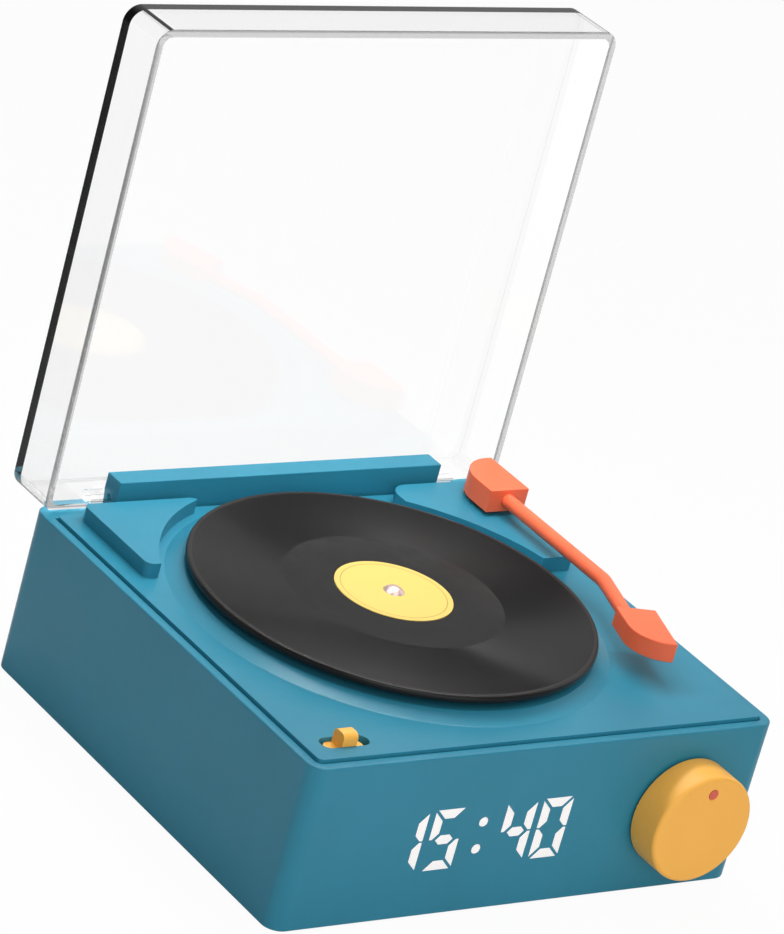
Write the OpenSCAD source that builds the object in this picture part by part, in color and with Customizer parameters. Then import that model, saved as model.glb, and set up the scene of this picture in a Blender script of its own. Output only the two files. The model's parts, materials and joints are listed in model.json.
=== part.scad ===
// Desk speaker and alarm clock in the shape of a small record player.
// Millimetres, +Z up, front of the clock towards -Y, floor at z = 0.

/* [Case] */
// Case width
body_w = 116.7; // [100:0.1:150]
// Case depth
body_d = 107.5; // [95:0.5:140]
// Case height without the foot pad
case_h = 36.6; // [33:0.1:50]
// Radius of the upright corners
corner_r = 3.7; // [3.5:0.1:8]
// Wall thickness, and width of the ledge round the deck
wall = 2.3; // [1.8:0.1:3]
// Width of the flat ledge behind the deck
rear_ledge = 5.45; // [5.2:0.05:8]
// Thickness of the rear ledge
ledge_t = 2.5; // [2:0.1:4]
// Thickness of the bottom cover
base_t = 2.2; // [2:0.1:4]
// Height of the rubber foot pad under the case
foot_h = 1; // [0.6:0.1:4]
// Distance from the case sides to the foot pad
foot_in = 12; // [9:0.5:30]

/* [Deck] */
// Deck plate thickness
deck_t = 2.2; // [1.8:0.1:3.5]
// Height of the deck above the ledge
deck_rise = 0.7; // [0.4:0.1:1.6]
// Free distance from the record's edge to the front and to the left side
record_margin = 11.2; // [10:0.1:16]
// Free distance from the record's edge to the rear of the case
record_rear = 9.5; // [9:0.1:15]
// Height of the raised disc under the record
dish_h = 1.5; // [0.8:0.1:2.2]
// Height of the corner pads
pad_h = 3.3; // [2:0.1:4]
// Distance from the case side to a pad
pad_side = 6.8; // [5.5:0.1:9]
// Distance from the case rear to a pad
pad_rear = 7.4; // [7.2:0.1:10]

/* [Cover] */
// Free height between the tone arm and the closed cover
lid_room = 1.3; // [0.4:0.05:6]
// Cover wall thickness
lid_wall = 1.6; // [1.5:0.1:2.5]
// Opening angle of the cover
lid_open = 90.5; // [90:0.5:100]
// Hinge bar length
bar_l = 83.2; // [60:0.2:90]
// Hinge bar depth
bar_d = 5.05; // [4.6:0.05:6]
// Hinge bar height above the ledge
bar_h = 7; // [6:0.1:8]
// Hinge axis in from the rear face
hinge_back = 1.95; // [1.4:0.05:2]
// Hinge pin diameter
pin_d = 1.4; // [1:0.1:1.6]
// Length of the cover's hinge knuckles
knuckle_l = 5.1; // [4:0.1:7]

/* [Record] */
// Record thickness
record_t = 1.6; // [1.2:0.1:2]
// Gap between the raised disc and the record
record_gap = 1.6; // [1.5:0.1:2]
// Record label diameter
label_d = 25.1; // [16:0.1:40]
// Spindle diameter
spindle_d = 3; // [2:0.1:4]

/* [Tone arm] */
// Pivot in from the right side
arm_in = 11.9; // [11.6:0.1:16]
// Pivot in from the rear
arm_back = 13.05; // [12.7:0.05:18]
// Width of the pivot block
arm_block_w = 10.2; // [8:0.1:10.6]
// Height of the pivot block
arm_block_h = 5.1; // [4.6:0.1:5.4]
// Gap between the pad and the pivot block
arm_gap = 0.8; // [0.6:0.1:1]
// Tube diameter
tube_d = 3.1; // [2:0.1:3.4]
// Distance from the pivot to the bend
arm_reach = 45.7; // [40:0.1:50]
// Angle of the bend
arm_bend = 18.5; // [10:0.5:25]
// Tube length after the bend
arm_tip = 17; // [14:0.5:20]
// Headshell length
head_l = 14.75; // [10:0.25:16]
// Headshell width
head_w = 8.85; // [7:0.05:10]
// Headshell height
head_h = 4.3; // [3.8:0.1:4.6]

/* [Controls] */
// Knob diameter
knob_d = 24.5; // [20:0.5:28]
// Distance the knob stands out of the front
knob_out = 8.6; // [8:0.1:12]
// Knob centre in from the right side
knob_in = 20.2; // [16:0.1:24]
// Diameter of the knob's red dot
dot_d = 2.2; // [1:0.1:4]
// Slide slot length
slot_l = 11.4; // [10:0.1:13]
// Slide slot width
slot_w = 4; // [2.6:0.1:4.2]
// Slide travel to each side
slide_travel = 1; // [0.8:0.1:2]
// Height of the slide lever above the deck
lever_h = 2.5; // [2:0.1:4]

/* [Display] */
// Digit height
digit_h = 14; // [10:0.1:16]
// Digit width
digit_w = 7.6; // [6:0.1:8.4]
// Segment thickness
seg_t = 2.2; // [1.2:0.1:2.4]
// Distance from digit to digit
digit_pitch = 9.1; // [8.6:0.1:10]
// Depth of the lit segments in the front wall
seg_depth = 0.8; // [0.4:0.1:1.2]

/* [Fits] */
// Running clearance round shafts and pins, per side
run_gap = 0.05; // [0.02:0.01:0.1]
// Clearance between fixed pieces, per side
seat_gap = 0.05; // [0.02:0.01:0.1]
// Clearance round the deck and the bottom cover, per side
panel_gap = 0.15; // [0.05:0.05:0.3]
// Free gap under the cover and beside its hinge bar
hinge_gap = 0.1; // [0.1:0.05:0.3]

/* [Hidden] */
$fn = 96;
eps = 0.5;

// Case levels and faces
side_x = body_w / 2;
rear_y = body_d / 2;
front_y = -rear_y;
inner_x = side_x - wall;
inner_y = rear_y - wall;
least_r = 0.4;
inner_r = max(corner_r - wall, least_r);
rim_z = foot_h + case_h;
base_top = foot_h + base_t;
ledge_y = rear_y - rear_ledge;
ledge_bot = rim_z - ledge_t;
mid_z = foot_h + case_h / 2;
deck_z = rim_z + deck_rise;
deck_bot = deck_z - deck_t;
pad_z = deck_z + pad_h;
shelf_w = 2.5;
shelf_t = 2;
shelf_rear = 1.5;
shelf_bot = deck_bot - shelf_t;

// Small screws: head and shank, and the posts they go into
head_r = 1.7;
screw_head = 1.2;
screw_r = 0.95;
screw_l = 5;
shank_lap = 0.1;
cross_l = 2;
cross_w = 0.4;
cross_d = 0.6;
head_room = 0.2;
sink = screw_head + head_room;
post_r = 3.4;
post_lap = 0.3;
post_x = inner_x - post_r + post_lap;
post_y = 30;
foot_sink = 0.6;
foot_r = 6;
boss_r = 3;
boss_l = 6;
boss_room = 0.4;
boss_x = inner_x - shelf_w - boss_r - boss_room;
boss_y = 15;
tab_t = 2;
tab_w = 8;
tab_z = deck_bot - boss_l - tab_t;
bar_screw_x = bar_l * 0.3;
bar_screw_y = (ledge_y + inner_y) / 2;

// Record stack, as far from the left side as from the front
record_r = (body_d - record_margin - record_rear) / 2;
disc_x = record_margin + record_r - side_x;
disc_y = record_margin + record_r - rear_y;
dish_skirt = 3.45;
dish_r = record_r + dish_skirt;
dish_in = 0.15;
dish_top_r = record_r - dish_in;
dish_fillet = 1.2;
pad_room = 5.35;
pad_arc = record_r + pad_room;
dish_z = deck_z + dish_h;
record_z = dish_z + record_gap;
record_top = record_z + record_t;
label_r = label_d / 2;
label_t = 0.25;
label_sink = 0.2;
spindle_r = spindle_d / 2;
bush_wall = 1.9;
bush_lip = 0.3;
bush_flange = 1.4;
bush_drop = 4;
platter_t = 1.1;
platter_r = record_r * 0.85;
cap_r = 2.3;
cap_h = 1.1;
clip_t = 0.6;
clip_w = 1.4;
clip_gap = 0.15;
tail_l = 1.2;

// Corner pads: distances from the record's centre and from the floor plan
left_pad_end = disc_x - record_r * 0.455;
left_pad_front = disc_y + record_r * 0.453;
right_pad_end = disc_x + record_r * 0.692;
right_pad_front = disc_y + record_r * 0.25;
pad_round = 4.5;
pad_corner = 1.8;
pad_x = side_x - pad_side;
pad_y = rear_y - pad_rear;

// Hinge: the axis runs along X, with the cover swung back from it
hinge_y = rear_y - hinge_back;
hinge_z = rim_z + hinge_gap + hinge_back;
pin_r = pin_d / 2;
pin_in = 5;
pin_room = 0.3;
notch_room = 0.2;
notch_x = bar_l / 2 + hinge_gap + notch_room;
sweep_room = 0.4;
notch_top = norm([hinge_back, rim_z + bar_h - hinge_z]) + sweep_room;

// Tone arm
arm_x = side_x - arm_in;
arm_y = rear_y - arm_back;
arm_block_l = 10.1;
arm_block_rear = 4.4;
block_round = 9;
arm_half = arm_block_w / 2;
tube_r = tube_d / 2;
tube_in = 4;
bore_room = 0.2;
bend_r = 8;
bend_run = bend_r * tan(arm_bend / 2);
bend_lap = 0.3;
bend_swell = 0.02;
stylus_gap = 0.45;
head_z = record_top + stylus_gap;
tube_lift = 0.2;
tube_z = max(pad_z + arm_gap + arm_block_h / 2, head_z + tube_r + tube_lift);
arm_z = tube_z - arm_block_h / 2;
head_off = 1.1;
head_round = 7.8;
head_lap = 0.5;
pivot_r = 1.5;
pivot_in = 1;
collar_r = 3;
collar_in = 0.2;
collar_gap = 0.1;
arm_bush_drop = 3;
lid_h = head_z + head_h + lid_room + lid_wall - rim_z - hinge_gap;

// Knob and its control
knob_x = side_x - knob_in;
knob_rise = 0.25;
knob_z = mid_z + knob_rise;
knob_r = knob_d / 2;
knob_gap = 0.5;
knob_edge = 0.9;
dot_up = knob_r * 0.675;
dot_t = 0.6;
shaft_r = 3;
neck_r = 3.6;
neck_out = 3.2;
nut_r = 5.6;
nut_t = 2;
nut_room = 1.4;
washer_w = 0.6;
washer_t = 0.5;
control_w = 16.5;
control_t = 8;
control_back = 2;
hub_y = 3.8;
knob_skin = 1.6;
shaft_end = knob_out - knob_skin;
shaft_room = 0.2;
tip_room = 0.1;

// Slide control
slide_in = 12.1;
slide_x = slide_in - side_x;
slide_back = 8.15;
slide_y = front_y + slide_back;
slide_room = 0.4;
slot_flat = 0.02;
slot_r = (slot_w - slot_flat) / 2;
lever_l = 3.5;
lever_w = slot_w - slide_room;
lever_r = 1.2;
strip_l = slot_l - 2 * slide_travel - slide_room;
strip_w = slot_w - 2 * run_gap;
strip_t = 0.8;
strip_drop = 0.9;
stem_w = 1.4;
stem_l = 2;
stem_drop = 3;
switch_end = 0.5;
switch_side = 1;
switch_l = slot_l + 2 * switch_end;
switch_w = slot_w + 2 * switch_side;
switch_h = 5;

// Display
digits_in = 24;
digits_x = digits_in - side_x;
colon_w = 8.8;
colon_d = 2.2;
seg_gap = 0.42;
seg_mid_gap = 0.14;
seg_cut = 0.65 * seg_t;
bar_in = 0.72 * seg_t;
digit_drop = 0.85;
digit_z = mid_z - digit_drop - digit_h / 2;
module_t = 6;
board_t = 1.6;
module_edge = 3;
digits_l = 3 * digit_pitch + colon_w + digit_w;
display_y = -inner_y + module_t;
display_x1 = digits_x + digits_l + module_edge;
ribbon_w = 8;
ribbon_t = 0.4;
ribbon_in = 1;
ribbon_lap = 3;
ribbon_x = display_x1 - ribbon_w - ribbon_in;

// Speaker behind the rear wall
speaker_z = (ledge_bot + base_top) / 2;
speaker_room = 0.9;
speaker_r = (ledge_bot - base_top) / 2 - speaker_room;
grille_in = 1.2;
grille_r = speaker_r - grille_in;
grille_lip = 0.8;
flange_y = inner_y - grille_lip;
flange_t = 1.5;
frame_l = 9;
frame_wall = 1;
frame_in = 0.6;
mouth_r = grille_r - frame_in;
magnet_r = speaker_r * 0.62;
magnet_t = 6;
magnet_edge = 0.5;
cone_gap = 0.3;
cone_t = 0.8;
cone_back = 1;
dome_rise = 2.2;
ear_r = 2.6;
ear_out = 1.6;
ear_at = speaker_r + ear_out;
ear_angle = 45;
speaker_skin = 0.6;
lip_w = 0.8;
lip_r = grille_r + lip_w;
grille_edge = 1.6;
grille_hole = 0.8;
grille_step = 2.7;

// Main board, socket and battery
board_lift = 4;
board_z = base_top + board_lift;
board_top = board_z + board_t;
board_side = 8;
board_x1 = inner_x - board_side;
board_room = 3.7;
board_x0 = ear_at * cos(ear_angle) + ear_r + board_room;
board_mid = (board_x0 + board_x1) / 2;
board_rear = 0.8;
board_y1 = inner_y - board_rear;
board_l = 70;
board_y0 = board_y1 - board_l;
tongue_x0 = ribbon_x - ribbon_in;
tongue_l = 16;
standoff_r = 2.8;
standoff_end = 8;
standoff_side = 4;
chip_w = 12;
chip_t = 1.2;
amp_l = 8;
amp_w = 6;
amp_t = 1;
amp_y = 12;
can_r = 3;
can_h = 7;
can_x = 6;
can_y = 14;
socket_w = 9;
socket_h = 3.2;
socket_l = 7.8;
socket_skin = 0.3;
socket_recess = 0.2;
socket_back = 1.5;
socket_flat = 0.02;
pin_plate_w = 6.6;
pin_plate_l = 4.6;
pin_plate_t = 0.7;
pin_plate_lap = 0.1;
socket_z = board_top + socket_h / 2;
cell_r = 9.1;
cell_l = 65;
cell_in = 18;
cell_x = cell_in - inner_x;
cell_lift = 1;
cell_z = base_top + cell_lift + cell_r;
tip_r = 3;
tip_l = 1;
saddle_t = 3;
wire_r = 0.6;
wire_sides = 8;
wire_z = board_top + wire_r + seat_gap;
lead_half = 1.5;
lead_end = 2;
lead_rise = 3;
lead_back = 10;
lead_side = 14;
lead_drop = 6;
lead_out = 5;

teal = [0.25, 0.5, 0.58];
coral = [0.98, 0.55, 0.42];
amber = [0.95, 0.7, 0.35];
black = [0.13, 0.13, 0.14];
steel = [0.75, 0.76, 0.78];

// Shared shapes
module rrect(w, d, r) {
    square([w - 2 * r, d], center = true);
    square([w, d - 2 * r], center = true);
    for (sx = [-1, 1], sy = [-1, 1]) translate([sx * (w / 2 - r), sy * (d / 2 - r)]) circle(r);
}

module slab(w, d, h, r, z) {
    translate([0, 0, z]) linear_extrude(h) rrect(w, d, r);
}

module rod(r, z0, z1) {
    translate([0, 0, z0]) cylinder(r = r, h = z1 - z0);
}

module along_x(r, x0, x1) {
    translate([x0, 0, 0]) rotate([0, 90, 0]) cylinder(r = r, h = x1 - x0);
}

module along_y(r, y0, y1) {
    translate([0, y1, 0]) rotate([90, 0, 0]) cylinder(r = r, h = y1 - y0);
}

module four(x, y) {
    for (sx = [-1, 1], sy = [-1, 1]) translate([sx * x, sy * y, 0]) children();
}

// Rectangle from the origin with that corner rounded
module one_round(w, d, r) {
    translate([r, 0]) square([w - r, d]);
    translate([0, r]) square([w, d - r]);
    intersection() {
        translate([r, r]) circle(r);
        square([w, d]);
    }
}

// Screw standing on its head at z = 0, shank upwards
module screw(l) {
    difference() {
        rod(head_r, 0, screw_head);
        for (a = [0, 90]) rotate([0, 0, a]) translate([-cross_l / 2, -cross_w / 2, -eps])
            cube([cross_l, cross_w, eps + cross_d]);
    }
    rod(screw_r, screw_head - shank_lap, screw_head + l);
}

// Lead swept along a list of points, its sides flat
function unit(v) = v / norm(v);
function heading(points, i) =
    unit(unit(points[min(i + 1, len(points) - 1)] - points[min(i, len(points) - 2)])
        + unit(points[max(i, 1)] - points[max(i - 1, 0)]));
function wire_ring(p, ahead) =
    let (side = unit(cross(ahead, [0, 0, 1])), above = cross(side, ahead))
    [for (k = [0 : wire_sides - 1])
        p + wire_r * (cos(k * 360 / wire_sides) * side + sin(k * 360 / wire_sides) * above)];

module wire(points) {
    last = len(points) - 1;
    rings = [for (i = [0 : last]) each wire_ring(points[i], heading(points, i))];
    walls = [for (i = [0 : last - 1], k = [0 : wire_sides - 1])
        let (a = i * wire_sides + k, b = i * wire_sides + (k + 1) % wire_sides)
            each [[a, b, a + wire_sides], [b, b + wire_sides, a + wire_sides]]];
    ends = [for (k = [1 : wire_sides - 2])
        let (far = last * wire_sides) each [[0, k + 1, k], [far, far + k, far + k + 1]]];
    polyhedron(rings, concat(walls, ends));
}

// One digit segment, named a to g from the top clockwise with g in the middle
function seg_points(k, w = digit_w, h = digit_h, t = seg_t, s = seg_gap, m = seg_mid_gap, q = seg_cut, g = bar_in) =
    k == "a" ? [[s, h], [w - s, h], [w - t - s, h - t], [t + s, h - t]] :
    k == "b" ? [[w, h - s], [w, h / 2 + m], [w - t + q, h / 2 + m], [w - t, h / 2 + m + q], [w - t, h - t - s]] :
    k == "c" ? [[w, h / 2 - m], [w, s], [w - t, t + s], [w - t, h / 2 - m - q], [w - t + q, h / 2 - m]] :
    k == "d" ? [[s, 0], [w - s, 0], [w - t - s, t], [t + s, t]] :
    k == "e" ? [[0, h / 2 - m], [0, s], [t, t + s], [t, h / 2 - m - q], [t - q, h / 2 - m]] :
    k == "f" ? [[0, h - s], [0, h / 2 + m], [t - q, h / 2 + m], [t, h / 2 + m + q], [t, h - t - s]] :
    [[g, h / 2], [g + t / 2, (h + t) / 2], [w - g - t / 2, (h + t) / 2], [w - g, h / 2],
        [w - g - t / 2, (h - t) / 2], [g + t / 2, (h - t) / 2]];

module digit(i, keys) {
    translate([i * digit_pitch + (i > 1 ? colon_w : 0), 0]) for (k = keys) polygon(seg_points(k));
}

module time_digits(depth, grow) {
    translate([digits_x, front_y + depth, digit_z]) rotate([90, 0, 0]) linear_extrude(depth + grow) {
        digit(0, ["b", "c"]);
        digit(1, ["a", "f", "g", "c", "d"]);
        digit(2, ["f", "g", "b", "c"]);
        digit(3, ["a", "b", "c", "d", "e", "f"]);
        for (f = [0.278, 0.722])
            translate([digits_l / 2, f * digit_h]) circle(colon_d / 2 + (grow > 0 ? seat_gap : 0));
    }
}

// Fixed pieces
module case() {
    color(teal) difference() {
        intersection() {
            slab(body_w, body_d, case_h, corner_r, foot_h);
            union() {
                difference() {
                    slab(body_w, body_d, case_h, corner_r, foot_h);
                    slab(2 * inner_x, 2 * inner_y, case_h + 2 * eps, inner_r, foot_h - eps);
                }
                translate([-inner_x - eps, ledge_y, ledge_bot])
                    cube([2 * (inner_x + eps), inner_y - ledge_y + eps, ledge_t]);
                deck_shelf();
                four(post_x, post_y) rod(post_r, base_top, shelf_bot + eps);
                for (sx = [-1, 1], sy = [-1, 1])
                    translate([sx * (boss_x - boss_r + inner_x + eps) / 2, sy * boss_y, tab_z + tab_t / 2])
                        cube([inner_x + eps - boss_x + boss_r, tab_w, tab_t], center = true);
                speaker_pads();
            }
        }
        four(post_x, post_y) rod(screw_r + seat_gap, base_top - eps, base_top + screw_l + eps);
        four(boss_x, boss_y) rod(screw_r + seat_gap, tab_z - eps, tab_z + tab_t + eps);
        for (sx = [-1, 1]) translate([sx * bar_screw_x, bar_screw_y, 0]) {
            rod(screw_r + seat_gap, ledge_bot - eps, rim_z + eps);
            rod(head_r + 2 * seat_gap, shelf_bot - eps, ledge_bot);
        }
        time_digits(seg_depth, eps);
        translate([knob_x, 0, knob_z]) along_y(neck_r + seat_gap, front_y - eps, -inner_y + eps);
        translate([0, 0, speaker_z]) {
            along_y(grille_r + seat_gap, inner_y - eps, rear_y + eps);
            along_y(lip_r + seat_gap, flange_y - eps, inner_y);
        }
        speaker_ears() along_y(screw_r + seat_gap, flange_y - eps, rear_y - speaker_skin);
        socket_shape(socket_w + 2 * seat_gap, socket_h + 2 * seat_gap, inner_y - eps, rear_y + eps);
    }
}

module deck_shelf() {
    shelf_x = inner_x + (eps - shelf_w) / 2;
    for (sx = [-1, 1]) translate([sx * shelf_x, (ledge_y - rear_y) / 2, deck_bot - shelf_t / 2])
        cube([shelf_w + eps, ledge_y + rear_y, shelf_t], center = true);
    translate([-inner_x, -inner_y - eps, shelf_bot]) cube([2 * inner_x, shelf_w + eps, shelf_t]);
    translate([-inner_x, ledge_y - shelf_rear, shelf_bot]) cube([2 * inner_x, shelf_rear + eps, shelf_t]);
}

module speaker_ears() {
    for (sx = [-1, 1], sz = [-1, 1])
        translate([sx * ear_at * cos(ear_angle), 0, speaker_z + sz * ear_at * sin(ear_angle)]) children();
}

module speaker_pads() {
    speaker_ears() along_y(ear_r, flange_y, inner_y + eps);
}

module socket_shape(w, h, y0, y1) {
    translate([board_mid, y1, socket_z]) rotate([90, 0, 0]) linear_extrude(y1 - y0)
        rrect(w, h, (h - socket_flat) / 2);
}

module left_pad() {
    difference() {
        pad_rect(-pad_x, left_pad_end, left_pad_front, pad_y, pad_corner);
        translate([disc_x, disc_y]) circle(pad_arc);
    }
}

module right_pad() {
    difference() {
        union() {
            pad_rect(right_pad_end, pad_x, right_pad_front, pad_y, pad_round);
            translate([pad_x - 2 * pad_round, right_pad_front])
                square([2 * pad_round, pad_y - right_pad_front]);
        }
        translate([disc_x, disc_y]) circle(pad_arc);
    }
}

module pad_rect(x0, x1, y0, y1, r) {
    translate([(x0 + x1) / 2, (y0 + y1) / 2]) rrect(x1 - x0, y1 - y0, r);
}

// Raised disc with a soft foot, drawn as half a section
module dish_section() {
    slope = atan2(dish_h, dish_r - dish_top_r);
    foot = dish_fillet * tan(slope / 2);
    difference() {
        polygon([[0, -eps], [dish_r + foot, -eps], [dish_r + foot, 0],
            [dish_r - foot * cos(slope), foot * sin(slope)], [dish_top_r, dish_h], [0, dish_h]]);
        translate([dish_r + foot, dish_fillet]) circle(dish_fillet);
    }
}

module deck() {
    deck_w = body_w - 2 * wall - 2 * panel_gap;
    deck_y0 = -inner_y + panel_gap;
    deck_y1 = ledge_y - panel_gap;
    color(teal) difference() {
        union() {
            translate([0, (deck_y0 + deck_y1) / 2, 0])
                slab(deck_w, deck_y1 - deck_y0, deck_t, max(inner_r - panel_gap, least_r), deck_bot);
            translate([disc_x, disc_y, deck_z]) rotate_extrude() dish_section();
            translate([0, 0, deck_z - eps]) linear_extrude(pad_h + eps) left_pad();
            translate([0, 0, deck_z - eps]) linear_extrude(pad_h + eps) right_pad();
            four(boss_x, boss_y) rod(boss_r, deck_bot - boss_l, deck_bot + eps);
        }
        four(boss_x, boss_y)
            rod(screw_r + seat_gap, deck_bot - boss_l - eps, deck_bot - boss_l + screw_l - tab_t + eps);
        translate([disc_x, disc_y, 0]) rod(spindle_r + bush_wall + seat_gap, deck_bot - eps, dish_z + eps);
        translate([arm_x, arm_y, 0]) rod(collar_r + seat_gap, deck_bot - eps, pad_z + eps);
        translate([slide_x, slide_y, deck_bot - eps]) linear_extrude(deck_t + 2 * eps)
            rrect(slot_l, slot_w, slot_r);
    }
}

module hinge_bar() {
    pin_bore = pin_in + pin_room;
    color(teal) difference() {
        translate([-bar_l / 2, rear_y - bar_d, rim_z]) cube([bar_l, bar_d, bar_h]);
        for (sx = [-1, 1]) {
            translate([sx * bar_l / 2, hinge_y, hinge_z]) along_x(pin_r + run_gap, -pin_bore, pin_bore);
            translate([sx * bar_screw_x, bar_screw_y, 0])
                rod(screw_r + seat_gap, rim_z - eps, ledge_bot + screw_l + eps);
        }
    }
}

module bar_screws() {
    color(steel) for (sx = [-1, 1])
        translate([sx * bar_screw_x, bar_screw_y, ledge_bot - screw_head]) screw(screw_l);
}

module deck_screws() {
    color(steel) four(boss_x, boss_y) translate([0, 0, tab_z - screw_head]) screw(screw_l);
}

module base_plate() {
    color(black) difference() {
        union() {
            slab(2 * (inner_x - panel_gap), 2 * (inner_y - panel_gap), base_t,
                max(inner_r - panel_gap, least_r), foot_h);
            standoffs() rod(standoff_r, base_top - eps, board_z);
            for (sy = [-1, 1]) translate([cell_x, sy * cell_l * 0.3, base_top + cell_r / 2 - eps])
                cube([2 * cell_r, saddle_t, cell_r + 2 * eps], center = true);
        }
        four(post_x, post_y) {
            rod(screw_r + seat_gap, foot_h - eps, base_top + eps);
            rod(head_r + 2 * seat_gap, foot_h - eps, foot_h + sink);
        }
        foot_shape(seat_gap, foot_h - eps, foot_h + foot_sink);
        standoffs() rod(screw_r + seat_gap, board_z - screw_l, board_z + eps);
        translate([cell_x, 0, cell_z]) along_y(cell_r + seat_gap, -cell_l / 2 - eps, cell_l / 2 + eps);
    }
}

module foot_shape(grow, z0, z1) {
    slab(body_w - 2 * (foot_in - grow), body_d - 2 * (foot_in - grow), z1 - z0, foot_r + grow, z0);
}

module standoffs() {
    for (x = [board_x0 + standoff_side, board_x1 - standoff_side])
        for (y = [board_y0 + standoff_end, board_y1 - standoff_end]) translate([x, y, 0]) children();
}

module base_screws() {
    color(steel) four(post_x, post_y) translate([0, 0, foot_h + sink - screw_head]) screw(screw_l);
}

module foot_pad() {
    color(black) foot_shape(0, 0, foot_h + foot_sink);
}

module speaker_grille() {
    color(black) translate([0, 0, speaker_z]) difference() {
        union() {
            along_y(grille_r, inner_y - eps, rear_y);
            along_y(lip_r, flange_y, inner_y);
        }
        for (ring = [0 : floor((grille_r - grille_edge) / grille_step)])
            for (i = [0 : max(6 * ring, 1) - 1])
                rotate([0, i * 360 / max(6 * ring, 1), 0]) translate([ring * grille_step, 0, 0])
                    along_y(grille_hole, flange_y - eps, rear_y + eps);
    }
}

module turned_to_rear(y) {
    translate([0, y, speaker_z]) rotate([90, 0, 0]) children();
}

module speaker_frame() {
    end_r = magnet_r + magnet_edge;
    color(black) difference() {
        union() {
            turned_to_rear(flange_y) rotate_extrude() polygon([[mouth_r, 0], [speaker_r, 0],
                [speaker_r, flange_t], [mouth_r + frame_wall, flange_t], [end_r, frame_l], [0, frame_l],
                [0, frame_l - frame_wall], [end_r - frame_wall, frame_l - frame_wall], [mouth_r, flange_t]]);
            speaker_ears() along_y(ear_r, flange_y - flange_t, flange_y);
        }
        speaker_ears() along_y(screw_r + seat_gap, flange_y - flange_t - eps, flange_y + eps);
        turned_to_rear(flange_y + eps) cylinder(r = mouth_r, h = flange_t + eps);
    }
}

module speaker_magnet() {
    color(steel) turned_to_rear(flange_y - frame_l) cylinder(r = magnet_r, h = magnet_t);
}

// Paper cone, its rolled edge and its dust cap in one half section
module speaker_cone() {
    edge = mouth_r - cone_gap;
    deep = frame_l - frame_wall - cone_back;
    color([0.2, 0.2, 0.2]) turned_to_rear(flange_y) rotate_extrude() polygon([[edge, cone_t / 2],
        [edge, cone_t * 1.5], [edge * 0.8, cone_t * 1.75], [edge * 0.36, deep], [0, frame_l - frame_wall],
        [0, deep - dome_rise], [edge * 0.2, deep - dome_rise + cone_t / 2], [edge * 0.36, deep - cone_t],
        [edge * 0.78, cone_t], [edge * 0.9, 0]]);
}

module speaker_screws() {
    color(steel) speaker_ears() translate([0, flange_y - flange_t - screw_head, 0]) rotate([-90, 0, 0])
        screw(flange_t + grille_lip + wall - speaker_skin - head_room);
}

// Board with a tongue at its front left for the display's ribbon and the battery's leads
module main_board() {
    color([0.1, 0.35, 0.2]) difference() {
        union() {
            translate([board_x0, board_y0, board_z]) cube([board_x1 - board_x0, board_l, board_t]);
            translate([tongue_x0, board_y0, board_z]) cube([board_mid - tongue_x0, tongue_l, board_t]);
        }
        standoffs() rod(screw_r + seat_gap, board_z - eps, board_top + eps);
    }
}

module board_chips() {
    color(black) translate([board_mid, (board_y0 + board_y1) / 2, board_top]) {
        translate([-chip_w / 2, -chip_w / 2, 0]) cube([chip_w, chip_w, chip_t]);
        translate([-amp_l, amp_y, 0]) cube([amp_l, amp_w, amp_t]);
        translate([can_x, can_y, 0]) cylinder(r = can_r, h = can_h);
    }
}

module board_screws() {
    color(steel) standoffs() translate([0, 0, board_top + screw_head]) mirror([0, 0, 1]) screw(screw_l);
}

module battery() {
    color([0.2, 0.3, 0.6]) translate([cell_x, 0, cell_z]) {
        along_y(cell_r, -cell_l / 2, cell_l / 2);
        along_y(tip_r, -cell_l / 2 - tip_l, -cell_l / 2 + eps);
    }
}

module battery_leads() {
    start_y = -cell_l / 2 - tip_l - wire_r - seat_gap;
    end_y = board_y0 + lead_back;
    color([0.7, 0.1, 0.1]) for (s = [-lead_half, lead_half])
        wire([[cell_x, start_y, cell_z + s], [cell_x + lead_side, start_y, wire_z + lead_rise + s],
            [tongue_x0 + lead_end, end_y - s, wire_z], [tongue_x0 + 2 * lead_end, end_y - s, wire_z]]);
}

module speaker_leads() {
    back_y = flange_y - frame_l - magnet_t - wire_r - seat_gap;
    start_x = magnet_r / 2;
    end_y = back_y - lead_out - lead_drop;
    color([0.15, 0.15, 0.15]) for (s = [-lead_half, lead_half])
        wire([[start_x, back_y, speaker_z + s], [start_x + s, back_y - lead_out, speaker_z - lead_drop],
            [board_x0 + lead_end, end_y + s, wire_z], [board_x0 + 2 * lead_end, end_y + s, wire_z]]);
}

module usb_socket() {
    y1 = rear_y - socket_recess;
    floor_y = y1 - socket_l + socket_back;
    color(steel) difference() {
        socket_shape(socket_w, socket_h, y1 - socket_l, y1);
        socket_shape(socket_w - 2 * socket_skin, socket_h - 2 * socket_skin, floor_y, y1 + eps);
    }
    color(black) translate([board_mid - pin_plate_w / 2, floor_y - pin_plate_lap, socket_z - pin_plate_t / 2])
        cube([pin_plate_w, pin_plate_l, pin_plate_t]);
}

module display_module() {
    color(black) translate([digits_x - module_edge, -inner_y, digit_z - module_edge])
        cube([digits_l + 2 * module_edge, module_t, digit_h + 2 * module_edge]);
}

module display_board() {
    color([0.1, 0.35, 0.2]) translate([digits_x - module_edge, display_y, digit_z - module_edge])
        cube([digits_l + 2 * module_edge, board_t, digit_h + 2 * module_edge]);
}

module display_ribbon() {
    y0 = display_y + board_t;
    bend_y = (y0 + board_y0) / 2;
    under = [[y0, digit_z], [bend_y, digit_z], [board_y0, board_top], [board_y0 + ribbon_lap, board_top]];
    over = [for (i = [3 : -1 : 0]) under[i] + [0, ribbon_t]];
    color([0.85, 0.85, 0.8]) translate([ribbon_x, 0, 0]) rotate([90, 0, 90])
        linear_extrude(ribbon_w) polygon(concat(under, over));
}

module display_digits() {
    color([0.97, 0.97, 0.95]) time_digits(seg_depth, 0);
}

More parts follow.
